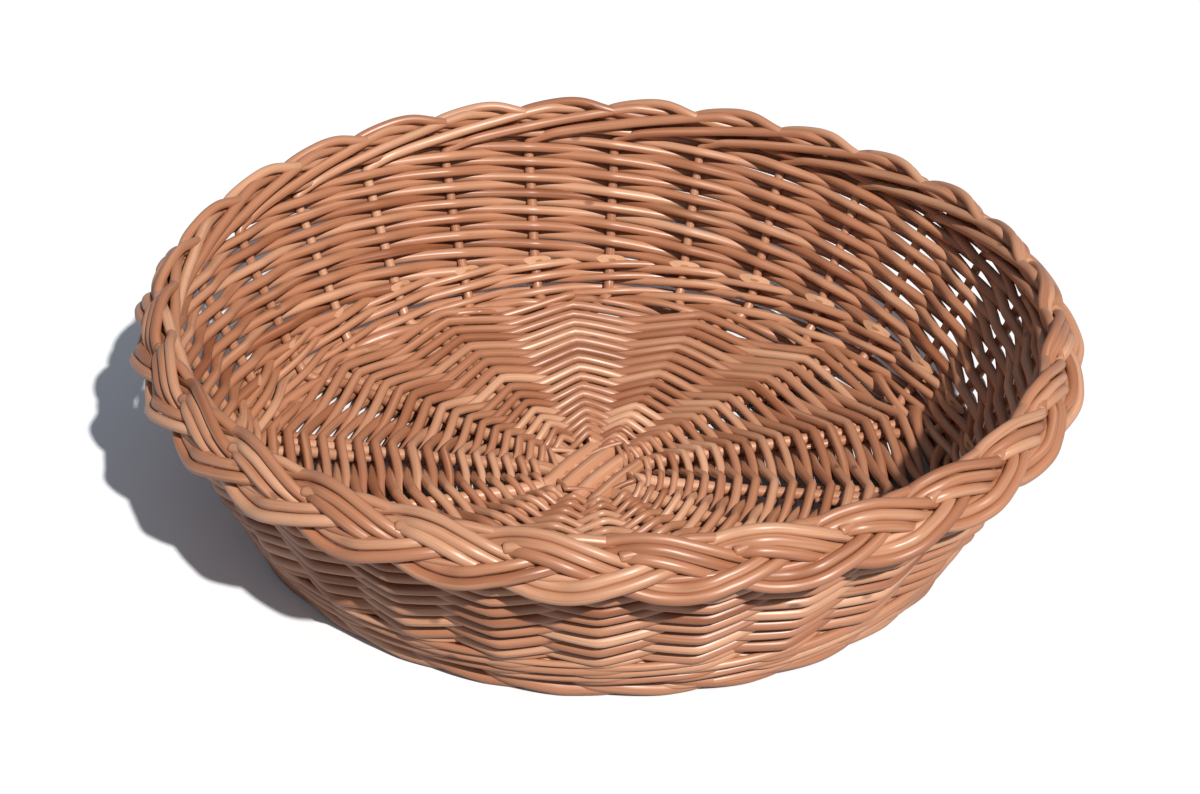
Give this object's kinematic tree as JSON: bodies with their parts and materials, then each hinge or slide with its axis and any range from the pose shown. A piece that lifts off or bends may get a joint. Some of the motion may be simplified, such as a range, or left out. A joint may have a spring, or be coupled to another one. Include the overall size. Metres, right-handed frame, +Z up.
{
  "type": "wicker basket",
  "caption": "Round shallow woven willow basket with flared sides, a woven spoked bottom and a thick plaited border around the rim.",
  "frame": {"origin": "centre of the underside, on the plane the basket stands on", "axes": "+Z up through the mouth; X and Y are level and equivalent, -Y towards the viewer"},
  "size_m": [0.4, 0.4, 0.099],
  "materials": {
    "willow_sticks": "satin, peeled buff willow, thick rods",
    "willow_stakes": "satin, peeled buff willow",
    "willow_bottom_weave": "satin, peeled buff willow, thin weaving rods",
    "willow_upsett": "satin, peeled buff willow",
    "willow_siding": "satin, peeled buff willow, tapering rods with pale cut ends",
    "willow_border": "satin to glossy, peeled buff willow"
  },
  "bodies": {
    "root": {"bottom_stick_split_1": "willow_sticks", "bottom_stick_split_2": "willow_sticks", "bottom_stick_split_3": "willow_sticks", "bottom_stick_split_4": "willow_sticks", "bottom_stick_threaded_1": "willow_sticks", "bottom_stick_threaded_2": "willow_sticks", "bottom_stick_threaded_3": "willow_sticks", "side_stake_01": "willow_stakes", "side_stake_02": "willow_stakes", "side_stake_03": "willow_stakes", "side_stake_04": "willow_stakes", "side_stake_05": "willow_stakes", "side_stake_06": "willow_stakes", "side_stake_07": "willow_stakes", "side_stake_08": "willow_stakes", "side_stake_09": "willow_stakes", "side_stake_10": "willow_stakes", "side_stake_11": "willow_stakes", "side_stake_12": "willow_stakes", "side_stake_13": "willow_stakes", "side_stake_14": "willow_stakes", "side_stake_15": "willow_stakes", "side_stake_16": "willow_stakes", "side_stake_17": "willow_stakes", "side_stake_18": "willow_stakes", "side_stake_19": "willow_stakes", "side_stake_20": "willow_stakes", "side_stake_21": "willow_stakes", "side_stake_22": "willow_stakes", "side_stake_23": "willow_stakes", "side_stake_24": "willow_stakes", "side_stake_25": "willow_stakes", "side_stake_26": "willow_stakes", "side_stake_27": "willow_stakes", "side_stake_28": "willow_stakes", "slath_binding": "willow_bottom_weave", "bottom_pairing_inner": "willow_bottom_weave", "bottom_weave_outer": "willow_bottom_weave", "foot_wale": "willow_upsett", "upsett_wale_1": "willow_upsett", "upsett_wale_2": "willow_upsett", "siding_course_1": "willow_siding", "siding_course_2": "willow_siding", "siding_course_3": "willow_siding", "siding_course_4": "willow_siding", "siding_course_5": "willow_siding", "siding_course_6": "willow_siding", "siding_course_7": "willow_siding", "siding_course_8": "willow_siding", "top_wale": "willow_siding", "plaited_border": "willow_border"}
  },
  "joints": []
}
